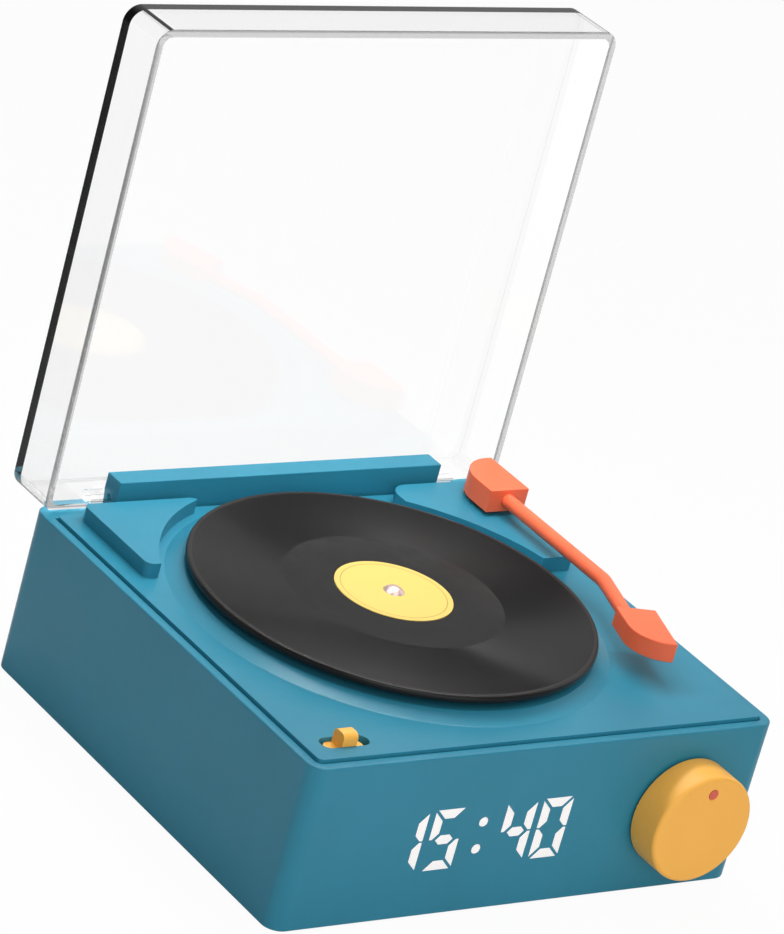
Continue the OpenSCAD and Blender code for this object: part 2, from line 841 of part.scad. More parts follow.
module volume_control() {
    color(steel) translate([knob_x, 0, knob_z]) difference() {
        union() {
            translate([-control_w / 2, -inner_y, -control_w / 2]) cube([control_w, control_t, control_w]);
            along_y(neck_r, front_y - neck_out, -inner_y + eps);
        }
        along_y(shaft_r + run_gap, front_y - neck_out - eps, control_t - inner_y - control_back);
    }
}

module control_washer() {
    color(steel) translate([knob_x, 0, knob_z]) difference() {
        along_y(nut_r + washer_w, front_y - washer_t, front_y);
        along_y(neck_r + seat_gap, front_y - washer_t - eps, front_y + eps);
    }
}

module control_nut() {
    color(steel) translate([knob_x, front_y - washer_t, knob_z]) rotate([90, 0, 0]) difference() {
        cylinder(r = nut_r, h = nut_t, $fn = 6);
        rod(neck_r + seat_gap, -eps, nut_t + eps);
    }
}

module slide_switch() {
    color(black) translate([slide_x, slide_y, 0]) difference() {
        translate([-switch_l / 2, -switch_w / 2, deck_bot - switch_h]) cube([switch_l, switch_w, switch_h]);
        translate([0, 0, deck_bot - stem_drop - slide_room]) linear_extrude(stem_drop + slide_room + eps)
            square([stem_l + 2 * slide_travel + slide_room, stem_w + 2 * run_gap], center = true);
    }
}

module spindle_bush() {
    color([0.8, 0.6, 0.3]) translate([disc_x, disc_y, 0]) difference() {
        union() {
            rod(spindle_r + bush_wall, deck_bot - bush_drop, dish_z + bush_lip);
            rod(spindle_r + bush_wall + bush_flange, dish_z, dish_z + bush_lip);
        }
        rod(spindle_r + run_gap, deck_bot - bush_drop - eps, dish_z + bush_lip + eps);
    }
}

module arm_bush() {
    color([0.8, 0.6, 0.3]) translate([arm_x, arm_y, 0]) difference() {
        rod(collar_r, deck_bot - arm_bush_drop, pad_z);
        rod(pivot_r + run_gap, deck_bot - arm_bush_drop - eps, pad_z + eps);
    }
}

// Cover and its hinge pins, drawn about the hinge axis
module lid_closed() {
    difference() {
        union() {
            difference() {
                translate([0, hinge_back - rear_y, 0]) difference() {
                    slab(body_w, body_d, lid_h, corner_r, -hinge_back);
                    slab(body_w - 2 * lid_wall, body_d - 2 * lid_wall, lid_h - lid_wall + eps,
                        max(corner_r - lid_wall, least_r), -hinge_back - eps);
                }
                difference() {
                    translate([-side_x - eps, 0, -hinge_back - eps])
                        cube([body_w + 2 * eps, hinge_back + eps, hinge_back + eps]);
                    along_x(hinge_back, -side_x - 2 * eps, side_x + 2 * eps);
                }
                translate([-notch_x, hinge_back - lid_wall - eps, -hinge_back - eps])
                    cube([2 * notch_x, lid_wall + 2 * eps, notch_top + hinge_back + eps]);
            }
            for (m = [0, 1]) mirror([m, 0, 0]) along_x(hinge_back, notch_x, notch_x + knuckle_l);
        }
        for (m = [0, 1]) mirror([m, 0, 0])
            along_x(pin_r + seat_gap / 2, notch_x - eps, notch_x + knuckle_l + eps);
    }
}

module lid() {
    color([0.9, 0.93, 0.95, 0.35]) translate([0, hinge_y, hinge_z]) rotate([-lid_open, 0, 0]) lid_closed();
}

module hinge_pins() {
    color([0.9, 0.93, 0.95, 0.35]) translate([0, hinge_y, hinge_z]) for (m = [0, 1]) mirror([m, 0, 0])
        along_x(pin_r, bar_l / 2 - pin_in, notch_x + knuckle_l);
}

// Record stack
module record() {
    hole_r = spindle_r + seat_gap;
    edge_r = record_r - record_t / 2;
    color(black) translate([disc_x, disc_y, record_z]) rotate_extrude() difference() {
        union() {
            translate([hole_r, 0]) square([edge_r - hole_r, record_t]);
            translate([edge_r, record_t / 2]) circle(record_t / 2);
        }
        translate([0, record_t - label_sink]) square([label_r + seat_gap, record_t]);
    }
}

module record_label() {
    color([0.98, 0.91, 0.5]) translate([disc_x, disc_y, 0]) difference() {
        rod(label_r, record_top - label_sink, record_top - label_sink + label_t);
        rod(spindle_r + seat_gap, record_z, record_top + eps);
    }
}

module platter() {
    color(black) translate([disc_x, disc_y, 0]) difference() {
        rod(platter_r, record_z - platter_t, record_z);
        rod(spindle_r + seat_gap / 2, record_z - platter_t - eps, record_z + eps);
    }
}

module spindle() {
    color(steel) translate([disc_x, disc_y, 0])
        rod(spindle_r, deck_bot - bush_drop - clip_t - tail_l, record_top - label_sink + label_t);
}

module spindle_cap() {
    top = record_top - label_sink + label_t;
    dome_r = (cap_r * cap_r + cap_h * cap_h) / (2 * cap_h);
    color([0.8, 0.6, 0.55]) translate([disc_x, disc_y, top]) intersection() {
        translate([0, 0, cap_h - dome_r]) sphere(dome_r);
        rod(cap_r, 0, cap_h + eps);
    }
}

module clip(r) {
    difference() {
        rod(r + clip_w, 0, clip_t);
        rod(r + seat_gap / 2, -eps, clip_t + eps);
    }
}

module spindle_clip() {
    color(steel) translate([disc_x, disc_y, deck_bot - bush_drop - clip_t - clip_gap]) clip(spindle_r);
}

// Tone arm, drawn about its pivot at rest beside the record
module at_pivot() {
    translate([arm_x, arm_y, 0]) children();
}

module arm_block() {
    color(coral) at_pivot() difference() {
        translate([0, 0, arm_z]) linear_extrude(arm_block_h) translate([-arm_half, arm_block_rear])
            mirror([0, 1]) one_round(arm_block_w, arm_block_l + arm_block_rear, block_round);
        translate([0, 0, tube_z])
            along_y(tube_r + seat_gap / 2, -arm_block_l - eps, tube_in - arm_block_l + bore_room);
        rod(pivot_r + seat_gap / 2, arm_z - eps, arm_z + pivot_in + bore_room);
    }
}

module arm_tube() {
    bend_y = bend_run - arm_reach;
    color(coral) at_pivot() translate([0, 0, tube_z]) {
        along_y(tube_r, bend_y - bend_lap, tube_in - arm_block_l);
        translate([-bend_r, bend_y, 0]) rotate([0, 0, -arm_bend])
            rotate_extrude(angle = arm_bend) translate([bend_r, 0]) circle(tube_r + bend_swell);
        translate([0, -arm_reach, 0]) rotate([0, 0, -arm_bend])
            along_y(tube_r, -arm_tip - tube_in + head_lap, bend_lap - bend_run);
    }
}

module headshell() {
    x0 = head_off - head_w / 2;
    y0 = head_lap - head_l;
    color(coral) at_pivot() translate([0, -arm_reach, 0]) rotate([0, 0, -arm_bend]) translate([0, -arm_tip, 0])
        difference() {
            translate([x0, y0, head_z]) linear_extrude(head_h) one_round(head_w, head_l, head_round);
            translate([0, 0, tube_z])
                along_y(tube_r + seat_gap / 2, head_lap - tube_in - bore_room, head_lap + eps);
        }
}

module arm_pivot() {
    color(steel) at_pivot() {
        rod(pivot_r, deck_bot - arm_bush_drop - clip_t - tail_l, arm_z + pivot_in);
        rod(collar_r - collar_in, pad_z + collar_gap, arm_z);
    }
}

module arm_clip() {
    color(steel) at_pivot() translate([0, 0, deck_bot - arm_bush_drop - clip_t - clip_gap]) clip(pivot_r);
}

// Knob, seen from the front along +Y
module on_knob() {
    translate([knob_x, front_y, knob_z]) rotate([90, 0, 0]) children();
}

module knob() {
    color(amber) on_knob() difference() {
        rotate_extrude() {
            translate([0, knob_gap]) square([knob_r, knob_out - knob_gap - knob_edge]);
            translate([0, knob_gap]) square([knob_r - knob_edge, knob_out - knob_gap]);
            translate([knob_r - knob_edge, knob_out - knob_edge]) circle(knob_edge);
        }
        rod(nut_r + nut_room, -eps, hub_y);
        rod(shaft_r + seat_gap / 2, 0, shaft_end + tip_room);
        translate([0, dot_up, 0]) rod(dot_d / 2 + seat_gap / 2, knob_out - dot_t, knob_out + eps);
    }
}

module knob_dot() {
    color([0.87, 0.42, 0.36]) on_knob() translate([0, dot_up, 0]) rod(dot_d / 2, knob_out - dot_t, knob_out);
}

module control_shaft() {
    color(steel) translate([knob_x, 0, knob_z])
        along_y(shaft_r, front_y - shaft_end, control_t - inner_y - control_back - shaft_room);
}

module slide_lever() {
    lever_bot = deck_z - strip_drop - strip_t / 2;
    lever_top = deck_z + lever_h;
    color(amber) translate([slide_x, slide_y, 0]) {
        translate([-lever_l / 2, 0, lever_top - lever_r]) rotate([90, 0, 90]) linear_extrude(lever_l)
            rrect(lever_w, 2 * lever_r + slot_flat, lever_r);
        translate([-lever_l / 2, -lever_w / 2, lever_bot])
            cube([lever_l, lever_w, lever_top - lever_r - lever_bot]);
        slab(strip_l, strip_w, strip_t, (strip_w - slot_flat) / 2, deck_z - strip_drop - strip_t);
        translate([-stem_l / 2, -stem_w / 2, deck_bot - stem_drop])
            cube([stem_l, stem_w, deck_z - strip_drop - strip_t / 2 - deck_bot + stem_drop]);
    }
}

case();
deck();
hinge_bar();
bar_screws();
deck_screws();
base_plate();
base_screws();
foot_pad();
speaker_grille();
speaker_frame();
speaker_magnet();
speaker_cone();
speaker_screws();
main_board();
board_chips();
board_screws();
battery();
battery_leads();
speaker_leads();
usb_socket();
display_module();
display_board();
display_ribbon();
display_digits();
volume_control();
control_washer();
control_nut();
slide_switch();
spindle_bush();
arm_bush();
lid();
hinge_pins();
record();
record_label();
platter();
spindle();
spindle_cap();
spindle_clip();
arm_block();
arm_tube();
headshell();
arm_pivot();
arm_clip();
knob();
knob_dot();
control_shaft();
slide_lever();
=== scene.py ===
"""Looks of the record-player clock: finishes, soft edges, grooved record, clear cover, studio and camera."""
import json
import math

import bmesh
import bpy
from mathutils import Matrix, Vector


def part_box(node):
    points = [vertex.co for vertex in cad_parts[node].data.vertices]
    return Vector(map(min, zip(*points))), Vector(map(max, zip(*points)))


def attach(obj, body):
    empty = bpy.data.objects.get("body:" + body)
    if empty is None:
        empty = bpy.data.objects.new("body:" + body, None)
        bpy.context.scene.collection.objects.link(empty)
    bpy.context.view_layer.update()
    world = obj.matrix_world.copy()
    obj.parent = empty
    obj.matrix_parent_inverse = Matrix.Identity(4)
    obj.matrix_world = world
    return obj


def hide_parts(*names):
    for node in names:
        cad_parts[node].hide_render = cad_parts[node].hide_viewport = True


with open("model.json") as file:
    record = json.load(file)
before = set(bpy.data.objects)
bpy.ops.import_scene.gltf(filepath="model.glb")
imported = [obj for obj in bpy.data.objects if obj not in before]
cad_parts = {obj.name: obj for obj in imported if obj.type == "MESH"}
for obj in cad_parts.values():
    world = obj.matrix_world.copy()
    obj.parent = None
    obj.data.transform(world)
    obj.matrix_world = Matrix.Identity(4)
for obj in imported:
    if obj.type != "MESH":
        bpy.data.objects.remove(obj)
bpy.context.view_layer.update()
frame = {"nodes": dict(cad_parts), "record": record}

MM = 0.001
NODES = frame["nodes"]
WHITE = (1.0, 1.0, 1.0)

# Camera: angles in degrees, lens in millimetres, the rest in metres, aimed at the middle of the case
CAMERA_AZIMUTH = -40.84
CAMERA_ELEVATION = 23.337
CAMERA_ROLL = 15.585
CAMERA_DISTANCE = 1.0638
CAMERA_SLIDE_RIGHT = -0.01054
CAMERA_SLIDE_UP = 0.0453
CAMERA_LENS = 199.15
CAMERA_SENSOR = 36.0
CAMERA_NEAREST = 0.05
CAMERA_FARTHEST = 30.0
AIM = Vector((0, 0, 19.25 * MM))

# Studio: a white backdrop behind the clock, and a dimmer room round the other sides
WORLD_FILL = 0.16
BACKDROP = Vector((0.654, 0.757, 0.0))
BACKDROP_FROM = 0.3
BACKDROP_FULL = 0.75
ROOM_GREY = 0.2
MIRROR_LEVEL = 0.7
FLOOR_SIZE = 8.0
FLOOR_COLOUR = (0.8, 0.8, 0.8)
FLOOR_WHITE_SHARE = 0.96
FLOOR_BACK_FROM = 0.05
FLOOR_BACK_FULL = 0.12

# Lamps: place, width and length, power in watts and the point each one faces, in metres
LAMPS = {
    "rear_strip": ((0.0, 0.032, 0.17), (0.17, 0.03), 0.2, Vector((0.0, 0.036, 0.0))),
    "top_softbox": ((0.12, 0.12, 0.60), (0.25, 0.25), 0.62, AIM),
    "front_top_softbox": ((0.05, -0.30, 0.60), (0.4, 0.4), 1.0, AIM),
    "right_softbox": ((0.80, -0.10, 0.45), (0.5, 0.5), 0.9, AIM),
    "left_softbox": ((-0.50, -0.80, 0.50), (0.5, 0.5), 3.0, AIM),
    "front_softbox": ((0.0, -0.90, 0.15), (0.5, 0.3), 1.15, AIM),
}

# Plastic colours, in linear light
TEAL = (0.0275, 0.2225, 0.327)
CORAL = (0.93, 0.162, 0.070)
AMBER = (0.99, 0.485, 0.085)
DOT_RED = (0.6724, 0.1221, 0.0844)

# Noise scales per metre, the part of a noise that is used, and depths in millimetres
NOISE_LOW, NOISE_HIGH = 0.3, 0.7
DRIFT_SCALE = 38.0
GLOSS_SCALE = 160.0
GRAIN_SCALE = 5200.0
GRAIN_DEPTH = 0.02
TOOL_LINES = (120.0, 120.0, 2600.0)
TOOL_LINE_DEPTH = 0.01
VINYL_DRIFT_SCALE = 60.0
VINYL_GLOSS_SCALE = 220.0
LABEL_FIBRE_SCALE = 900.0
LABEL_GRAIN_SCALE = 4200.0

# Clear cover: bending and mirror strength, lean in degrees, wall in millimetres
COVER_IOR = 1.49
COVER_MIRROR = 0.65
COVER_LEAN = 0.5
COVER_WALL = 1.6

# The cover's cut rim, painted grey with darker painted-shade lines in place of the dark edges that light
# bent through the cover makes: depth of the rim and width of its darker line in millimetres, and their tones
SHADED_RIM_DEPTH = 0.15
SHADE_LINE_WIDTH = 0.5
RIM_PAINTED_SHADE_GREY = (0.45, 0.45, 0.45)
LINE_PAINTED_SHADE_GREY = (0.2, 0.2, 0.2)

# The block round the hinge knuckles: reach past the pins in millimetres, and the slant of its sides
KNUCKLE_IOR = 1.06
KNUCKLE_UP = 2.1
KNUCKLE_BACK, BACK_SLANT = 8.4, 1.78
KNUCKLE_LEFT, LEFT_SLANT = 0.2, 0.85
KNUCKLE_RIGHT, RIGHT_SLANT = 6.5, 1.55

# Record profile in millimetres, with the ring printed on its label
RECORD_STEPS = 256
RECORD_CRISP_ANGLE = 35.0
RIM_ROUND = 0.45
RIM_STEPS = 8
LEAD_IN_FROM, LEAD_IN_TO = 0.7, 0.9
GROOVE_DROP = 0.05
DEAD_WAX_RADIUS = 23.3
DEAD_WAX_SLOPE = 0.12
DEAD_WAX_SHARE = 0.4
LABEL_SLOPE = 0.1
LABEL_FIT = 0.05
LABEL_RING_SHARE = 0.9
LABEL_RING_HALF = 0.12
LABEL_LOW, LABEL_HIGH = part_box("record_label")
LABEL_RADIUS = (LABEL_HIGH.x - LABEL_LOW.x) / 2

# Edge radius of each softened piece, in millimetres
EDGES = {
    "deck": 0.3, "hinge_bar": 0.35, "arm_block": 0.3, "headshell": 0.3, "knob": 0.4,
    "slide_lever": 0.25, "lid": 0.45, "base_plate": 0.3, "foot_pad": 0.3, "speaker_grille": 0.12,
    "display_digits": 0.16,
}
CASE_EDGE = 0.3
CASE_EDGE_STEPS = 3
EDGE_STEPS = 5
EDGE_ANGLE = 32.0
CRISP_ANGLE = 19.0
FLAT_ANGLE = 0.4
WELD_GAP = 0.002
LEVEL_GAP = 0.01
NORMAL_WEIGHT = 80


def calculate(tree, operation, first, second=None):
    """A math node in tree. Its inputs are numbers or outputs of other nodes."""
    made = tree.nodes.new("ShaderNodeMath")
    made.operation = operation
    for socket, value in zip(made.inputs, (first, second)):
        if isinstance(value, (int, float)):
            socket.default_value = value
        elif value is not None:
            tree.links.new(value, socket)
    return made.outputs["Value"]


def shade(colour, factor):
    return tuple(min(1.0, c * factor) for c in colour)


class Finish:
    """A node material with one Principled shader, and short ways to drive its sockets."""

    def __init__(self, name, roughness=0.5, metallic=0.0, ior=1.46, specular=0.5):
        self.material = bpy.data.materials.new(name)
        self.material.use_nodes = True
        self.tree = self.material.node_tree
        self.bsdf = self.tree.nodes["Principled BSDF"]
        self.set("Roughness", roughness)
        self.set("Metallic", metallic)
        self.set("IOR", ior)
        self.set("Specular IOR Level", specular)
        self.place = self.node("ShaderNodeTexCoord").outputs["Object"]

    def set(self, socket, value):
        self.bsdf.inputs[socket].default_value = value

    def drive(self, socket, output):
        self.link(output, self.bsdf.inputs[socket])

    def node(self, kind, **settings):
        made = self.tree.nodes.new(kind)
        for key, value in settings.items():
            setattr(made, key, value)
        return made

    def link(self, source, target):
        self.tree.links.new(source, target)

    def math(self, operation, first, second=None):
        return calculate(self.tree, operation, first, second)

    def stretched(self, scale):
        made = self.node("ShaderNodeMapping")
        made.inputs["Scale"].default_value = scale
        self.link(self.place, made.inputs["Vector"])
        return made.outputs["Vector"]

    def noise(self, per_metre, detail=2.0, vector=None):
        made = self.node("ShaderNodeTexNoise")
        made.inputs["Scale"].default_value = per_metre
        made.inputs["Detail"].default_value = detail
        self.link(vector or self.place, made.inputs["Vector"])
        return made.outputs["Fac"]

    def spread(self, factor, low, high):
        """A number that runs from low to high as factor runs over the middle of a noise."""
        made = self.node("ShaderNodeMapRange")
        made.inputs["From Min"].default_value = NOISE_LOW
        made.inputs["From Max"].default_value = NOISE_HIGH
        made.inputs["To Min"].default_value = low
        made.inputs["To Max"].default_value = high
        self.link(factor, made.inputs["Value"])
        return made.outputs["Result"]

    def blend(self, factor, first, second):
        """A colour between two, each a tuple or an output of another node."""
        made = self.node("ShaderNodeMix", data_type="RGBA")
        self.link(factor, made.inputs["Factor"])
        for socket, colour in ((made.inputs["A"], first), (made.inputs["B"], second)):
            if isinstance(colour, tuple):
                socket.default_value = (*colour, 1)
            else:
                self.link(colour, socket)
        return made.outputs["Result"]

    def uneven_gloss(self, factor, less, more):
        roughness = self.bsdf.inputs["Roughness"].default_value
        self.drive("Roughness", self.spread(factor, roughness - less, roughness + more))

    def bump(self, height, strength, depth):
        made = self.node("ShaderNodeBump")
        made.inputs["Strength"].default_value = strength
        made.inputs["Distance"].default_value = depth * MM
        self.link(height, made.inputs["Height"])
        self.drive("Normal", made.outputs["Normal"])


def moulded(name, colour, roughness=0.45, drift=0.04, grain=0.06, specular=0.3):
    """Moulded plastic: a slow drift of tone, uneven gloss and a fine spark-eroded grain."""
    finish = Finish(name, roughness, specular=specular)
    slow = finish.spread(finish.noise(DRIFT_SCALE, detail=3.0), 0.0, 1.0)
    finish.drive("Base Color", finish.blend(slow, shade(colour, 1 - drift), shade(colour, 1 + drift)))
    finish.uneven_gloss(finish.noise(GLOSS_SCALE), less=0.04, more=0.05)
    finish.bump(finish.noise(GRAIN_SCALE, detail=1.0), grain, GRAIN_DEPTH)
    return finish


def metal(name, colour, roughness=0.28):
    """Turned or plated metal with fine tool lines and a slightly uneven polish."""
    finish = Finish(name, roughness, metallic=1.0)
    lines = finish.noise(1.0, detail=3.0, vector=finish.stretched(TOOL_LINES))
    tone = finish.spread(lines, 0.0, 1.0)
    finish.drive("Base Color", finish.blend(tone, shade(colour, 0.9), shade(colour, 1.06)))
    finish.uneven_gloss(lines, less=0.05, more=0.08)
    finish.bump(lines, 0.05, TOOL_LINE_DEPTH)
    return finish


def lit_white():
    """Milky segments with light behind them."""
    finish = moulded("lit_segments", (0.86, 0.84, 0.83), roughness=0.35, drift=0.02)
    finish.set("Emission Color", (1.0, 0.97, 0.96, 1))
    finish.set("Emission Strength", 0.22)
    return finish


def cover_rim_shade_masks(finish, x, y, z):
    """Two masks for painted shade: the cover's cut rim, which leans with the cover, and the darker painted
    lines along it, in place of the dark edges that bent light makes.
    """
    low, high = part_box("lid")
    lean = finish.math("MULTIPLY", finish.math("SUBTRACT", z, low.z), math.tan(math.radians(COVER_LEAN)))
    depth = finish.math("SUBTRACT", finish.math("SUBTRACT", y, low.y), lean)
    rim = finish.math("LESS_THAN", depth, SHADED_RIM_DEPTH * MM)
    from_left = finish.math("SUBTRACT", x, low.x)
    from_top = finish.math("SUBTRACT", high.z, z)
    # Painted shade: darker lines along the left and top outer edges and along one inner edge
    outer_shade_lines = finish.math("LESS_THAN", finish.math("MINIMUM", from_left, from_top), SHADE_LINE_WIDTH * MM)
    inner_shade_line_x = high.x - (COVER_WALL - SHADE_LINE_WIDTH / 2) * MM
    from_inner = finish.math("ABSOLUTE", finish.math("SUBTRACT", x, inner_shade_line_x))
    inner_shade_line = finish.math("LESS_THAN", from_inner, SHADE_LINE_WIDTH / 2 * MM)
    return rim, finish.math("MAXIMUM", outer_shade_lines, inner_shade_line)


def cover_knuckles(finish, x, y, z):
    """A mask round the hinge knuckles, slanted so that a ray falling through them stays inside it."""
    low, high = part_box("hinge_pins")
    axis = (low + high) / 2
    rise = finish.math("SUBTRACT", z, low.z)

    def slanted(across, slant):
        return finish.math("ADD", across, finish.math("MULTIPLY", rise, slant))

    inside = finish.math("LESS_THAN", z, axis.z + KNUCKLE_UP * MM)
    for limit in (
        finish.math("LESS_THAN", slanted(y, BACK_SLANT), axis.y + KNUCKLE_BACK * MM),
        finish.math("GREATER_THAN", slanted(x, LEFT_SLANT), low.x - KNUCKLE_LEFT * MM),
        finish.math("LESS_THAN", slanted(x, RIGHT_SLANT), high.x + KNUCKLE_RIGHT * MM),
    ):
        inside = finish.math("MULTIPLY", inside, limit)
    return inside


def clear_cover():
    """Clear plastic that bends what is seen through it, with its cut rim painted grey as shade and lighter
    hinge knuckles.
    """
    finish = Finish("clear_cover_plastic_with_painted_rim_shade", 0.0, ior=COVER_IOR)
    finish.set("Transmission Weight", 1.0)
    finish.set("Specular Tint", (COVER_MIRROR, COVER_MIRROR, COVER_MIRROR, 1))
    place = finish.node("ShaderNodeSeparateXYZ")
    finish.link(finish.place, place.inputs[0])
    x, y, z = (place.outputs[axis] for axis in "XYZ")
    rim, shade_lines = cover_rim_shade_masks(finish, x, y, z)
    # The grey rim and its darker lines are painted shade in the base colour, not a tint of the plastic
    finish.drive("Base Color", finish.blend(rim, WHITE, finish.blend(shade_lines, RIM_PAINTED_SHADE_GREY, LINE_PAINTED_SHADE_GREY)))
    softer = finish.math("MULTIPLY", cover_knuckles(finish, x, y, z), COVER_IOR - KNUCKLE_IOR)
    finish.drive("IOR", finish.math("SUBTRACT", COVER_IOR, softer))
    return finish


def vinyl(name, roughness, specular, dark, light):
    """Black vinyl with a slow drift of tone."""
    finish = Finish(name, roughness, ior=1.5, specular=specular)
    finish.drive("Base Color", finish.blend(finish.noise(VINYL_DRIFT_SCALE), dark, light))
    return finish


def grooved_vinyl():
    """Fine rings that pull reflected light into radial fans."""
    finish = vinyl("grooved_vinyl", 0.42, 0.16, (0.0065, 0.0062, 0.0062), (0.009, 0.0086, 0.0086))
    finish.set("Anisotropic", 1.0)
    tangent = finish.node("ShaderNodeTangent", direction_type="RADIAL", axis="Z")
    finish.drive("Tangent", tangent.outputs["Tangent"])
    return finish


def smooth_vinyl():
    """The ungrooved bands round the label and inside the rim."""
    finish = vinyl("smooth_vinyl", 0.4, 0.1, (0.0125, 0.0122, 0.0122), (0.016, 0.0155, 0.0155))
    finish.uneven_gloss(finish.noise(VINYL_GLOSS_SCALE), less=0.04, more=0.04)
    return finish


def edge_vinyl():
    """The record's polished edge bead."""
    finish = vinyl("edge_vinyl", 0.3, 0.2, (0.011, 0.0098, 0.0094), (0.014, 0.0125, 0.012))
    finish.uneven_gloss(finish.noise(VINYL_GLOSS_SCALE), less=0.03, more=0.03)
    return finish


def label_paper():
    """Plain yellow paper with a thin printed ring."""
    finish = Finish("label_paper", 0.6)
    fibres = finish.noise(LABEL_FIBRE_SCALE, detail=3.0)
    paper = finish.blend(fibres, (0.69, 0.478, 0.112), (0.73, 0.512, 0.122))
    middle = (LABEL_LOW + LABEL_HIGH) / 2
    gap = finish.node("ShaderNodeVectorMath", operation="DISTANCE")
    gap.inputs[1].default_value = (middle.x, middle.y, LABEL_HIGH.z)
    finish.link(finish.place, gap.inputs[0])
    off = finish.math("SUBTRACT", gap.outputs["Value"], LABEL_RADIUS * LABEL_RING_SHARE)
    ring = finish.math("LESS_THAN", finish.math("ABSOLUTE", off), LABEL_RING_HALF * MM)
    finish.drive("Base Color", finish.blend(ring, paper, (0.42, 0.28, 0.06)))
    finish.bump(finish.noise(LABEL_GRAIN_SCALE), 0.1, GRAIN_DEPTH)
    return finish


# One finish for each material slot
FINISHES = {
    "teal": moulded("teal_plastic", TEAL, roughness=0.32),
    "coral": moulded("coral_plastic", CORAL, roughness=0.4),
    "amber": moulded("amber_plastic", AMBER, roughness=0.38),
    "red_dot": moulded("red_dot_ink", DOT_RED, roughness=0.45),
    "dark_plastic": moulded("dark_plastic", (0.012, 0.012, 0.013), roughness=0.5, grain=0.12),
    "rubber": moulded("foot_rubber", (0.016, 0.016, 0.017), roughness=0.8, grain=0.3),
    "steel": metal("plated_steel", (0.62, 0.63, 0.66)),
    "black_metal": moulded("black_pressed_steel", (0.011, 0.011, 0.012), roughness=0.35),
    "brass": metal("turned_brass", (0.70, 0.47, 0.19), roughness=0.25),
    "rose_metal": metal("rose_metal", (0.74, 0.55, 0.52), roughness=0.36),
    "paper": moulded("cone_paper", (0.02, 0.02, 0.021), roughness=0.85, grain=0.4),
    "circuit_board": moulded("circuit_board_mask", (0.010, 0.085, 0.038), roughness=0.35),
    "cell_wrap": moulded("cell_wrap_film", (0.02, 0.06, 0.26), roughness=0.25),
    "red_wire": moulded("red_insulation", (0.36, 0.012, 0.01), roughness=0.5),
    "black_wire": moulded("black_insulation", (0.012, 0.012, 0.012), roughness=0.5),
    "ribbon": moulded("flat_cable_film", (0.62, 0.62, 0.56), roughness=0.4),
    "digit_white": lit_white(),
    "clear_cover": clear_cover(),
    "vinyl": grooved_vinyl(),
    "label": label_paper(),
}


def add_object(name, data):
    made = bpy.data.objects.new(name, data)
    bpy.context.scene.collection.objects.link(made)
    return made


def even_shading(piece, keep_sharp):
    smooth = piece.modifiers.new("smooth", "WEIGHTED_NORMAL")
    smooth.weight = NORMAL_WEIGHT
    smooth.keep_sharp = keep_sharp


def soften(node, width):
    """Joins the CAD mesh's faces, merges flat ones and rounds its edges, without touching its vertices."""
    weld = node.modifiers.new("weld", "WELD")
    weld.merge_threshold = WELD_GAP * MM
    flat = node.modifiers.new("flat", "DECIMATE")
    flat.decimate_type = "DISSOLVE"
    flat.angle_limit = math.radians(FLAT_ANGLE)
    edge = node.modifiers.new("edge", "BEVEL")
    edge.width = width
    edge.segments = EDGE_STEPS
    edge.limit_method = "ANGLE"
    edge.angle_limit = math.radians(EDGE_ANGLE)
    edge.use_clamp_overlap = True
    edge.miter_outer = "MITER_ARC"
    crisp = node.modifiers.new("crisp", "EDGE_SPLIT")
    crisp.split_angle = math.radians(CRISP_ANGLE)
    crisp.use_edge_sharp = False
    even_shading(node, keep_sharp=False)


def dress_nodes():
    """Gives every CAD node its finish. The clear pieces cast no shadow."""
    slots = {part["node"]: part["material_slot"] for part in frame["record"]["subparts"]}
    for name, node in NODES.items():
        node.data.materials.clear()
        node.data.materials.append(FINISHES[slots[name]].material)
        if name in EDGES:
            soften(node, EDGES[name] * MM)
        if slots[name] == "clear_cover":
            node.visible_shadow = False


def make_case():
    """The case with its top and foot edges rounded, everything else as the CAD node has it."""
    low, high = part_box("case")
    work = bmesh.new()
    work.from_mesh(NODES["case"].data)
    bmesh.ops.remove_doubles(work, verts=work.verts, dist=WELD_GAP * MM)

    def is_soft(edge):
        return len(edge.link_faces) == 2 and edge.calc_face_angle() < math.radians(EDGE_ANGLE)

    def at_top_or_foot(edge):
        heights = [vert.co.z for vert in edge.verts]
        return min(heights) > high.z - LEVEL_GAP * MM or max(heights) < low.z + LEVEL_GAP * MM

    sharp = [edge for edge in work.edges
             if len(edge.link_faces) == 2 and not is_soft(edge) and at_top_or_foot(edge)]
    bmesh.ops.bevel(work, geom=sharp, offset=CASE_EDGE * MM, segments=CASE_EDGE_STEPS, profile=0.5,
                    affect="EDGES", clamp_overlap=False)
    for face in work.faces:
        face.smooth = True
    for edge in work.edges:
        edge.smooth = is_soft(edge)
    mesh = bpy.data.meshes.new("case_shell")
    work.to_mesh(mesh)
    work.free()
    piece = add_object("case_shell", mesh)
    mesh.materials.append(FINISHES["teal"].material)
    even_shading(piece, keep_sharp=True)
    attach(piece, "housing")
    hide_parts("case")


def lathe(name, profile, steps, centre):
    """A closed solid turned about the upright axis at centre, from points of radius, height and zone."""
    work = bmesh.new()
    rings = []
    for radius, height, _ in profile:
        angles = [2 * math.pi * step / steps for step in range(steps)]
        rings.append([work.verts.new((radius * math.cos(a), radius * math.sin(a), height)) for a in angles])
    for index, (_, _, zone) in enumerate(profile):
        lower, upper = rings[index], rings[(index + 1) % len(rings)]
        for step in range(steps):
            after = (step + 1) % steps
            face = work.faces.new((lower[step], lower[after], upper[after], upper[step]))
            face.material_index = zone
            face.smooth = True
    bmesh.ops.recalc_face_normals(work, faces=work.faces)
    mesh = bpy.data.meshes.new(name)
    work.to_mesh(mesh)
    work.free()
    piece = add_object(name, mesh)
    piece.location = centre
    return piece


